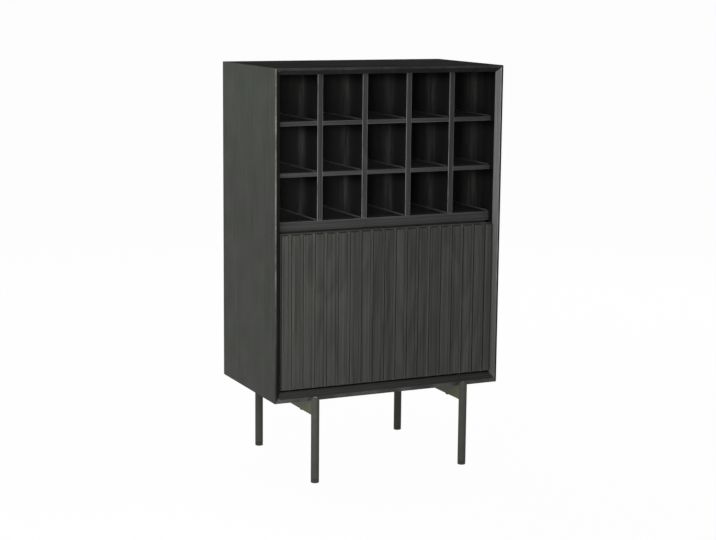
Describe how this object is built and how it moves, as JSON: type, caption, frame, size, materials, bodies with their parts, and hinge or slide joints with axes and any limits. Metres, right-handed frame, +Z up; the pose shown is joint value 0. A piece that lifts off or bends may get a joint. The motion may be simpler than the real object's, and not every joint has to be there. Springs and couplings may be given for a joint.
{
  "type": "bar cabinet",
  "caption": "Tall narrow bar cabinet: an open bottle rack of square cells over a ribbed drop-down flap, on slim round steel legs.",
  "frame": {"origin": "on the floor, midway between the feet", "axes": "+Z up, the front with the rack and the flap faces -Y, +X to the right as seen from the front"},
  "size_m": [0.6, 0.3806, 0.99],
  "materials": {
    "case_wood": "black stain under satin lacquer",
    "rack_wood": "black stain under satin lacquer",
    "flap_wood": "black stain under satin lacquer",
    "black_steel": "satin black powder coat",
    "bright_steel": "zinc plated",
    "black_plastic": "matt"
  },
  "bodies": {
    "cabinet": {"side_left": "case_wood", "side_right": "case_wood", "top_panel": "case_wood", "bottom_panel": "case_wood", "back_panel": "case_wood", "mid_shelf": "rack_wood", "rack_shelf_1": "rack_wood", "rack_shelf_2": "rack_wood", "rack_divider_1": "rack_wood", "rack_divider_2": "rack_wood", "rack_divider_3": "rack_wood", "rack_divider_4": "rack_wood", "flap_pivot_bush_left": "black_plastic", "flap_pivot_bush_right": "black_plastic", "quadrant_pin_left": "bright_steel", "quadrant_pin_right": "bright_steel", "latch_body": "black_plastic", "leg_front_left": "black_steel", "leg_front_right": "black_steel", "leg_rear_left": "black_steel", "leg_rear_right": "black_steel", "foot_cap_front_left": "black_plastic", "foot_cap_front_right": "black_plastic", "foot_cap_rear_left": "black_plastic", "foot_cap_rear_right": "black_plastic", "leg_rail_left": "black_steel", "leg_rail_right": "black_steel", "rail_screw_front_left": "black_steel", "rail_screw_front_right": "black_steel", "rail_screw_rear_left": "black_steel", "rail_screw_rear_right": "black_steel"},
    "flap": {"flap_panel": "flap_wood", "flap_slat_01": "flap_wood", "flap_slat_02": "flap_wood", "flap_slat_03": "flap_wood", "flap_slat_04": "flap_wood", "flap_slat_05": "flap_wood", "flap_slat_06": "flap_wood", "flap_slat_07": "flap_wood", "flap_slat_08": "flap_wood", "flap_slat_09": "flap_wood", "flap_slat_10": "flap_wood", "flap_slat_11": "flap_wood", "flap_slat_12": "flap_wood", "flap_slat_13": "flap_wood", "flap_slat_14": "flap_wood", "flap_slat_15": "flap_wood", "flap_slat_16": "flap_wood", "flap_slat_17": "flap_wood", "flap_slat_18": "flap_wood", "flap_slat_19": "flap_wood", "flap_pivot_pin_left": "bright_steel", "flap_pivot_pin_right": "bright_steel", "flap_quadrant_left": "black_steel", "flap_quadrant_right": "black_steel", "latch_strike": "bright_steel"},
    "plunger": {"latch_plunger": "black_plastic"}
  },
  "joints": [
    {"name": "flap_hinge", "type": "hinge", "parent": "cabinet", "child": "flap", "pos_m": [0, -0.1517, 0.25785], "axis": [1, 0, 0], "range_deg": [0, 90]},
    {"name": "latch_press", "type": "slide", "parent": "cabinet", "child": "plunger", "axis": [0, 1, 0], "range_m": [0, 0.003], "stiffness_N_per_m": 400}
  ]
}
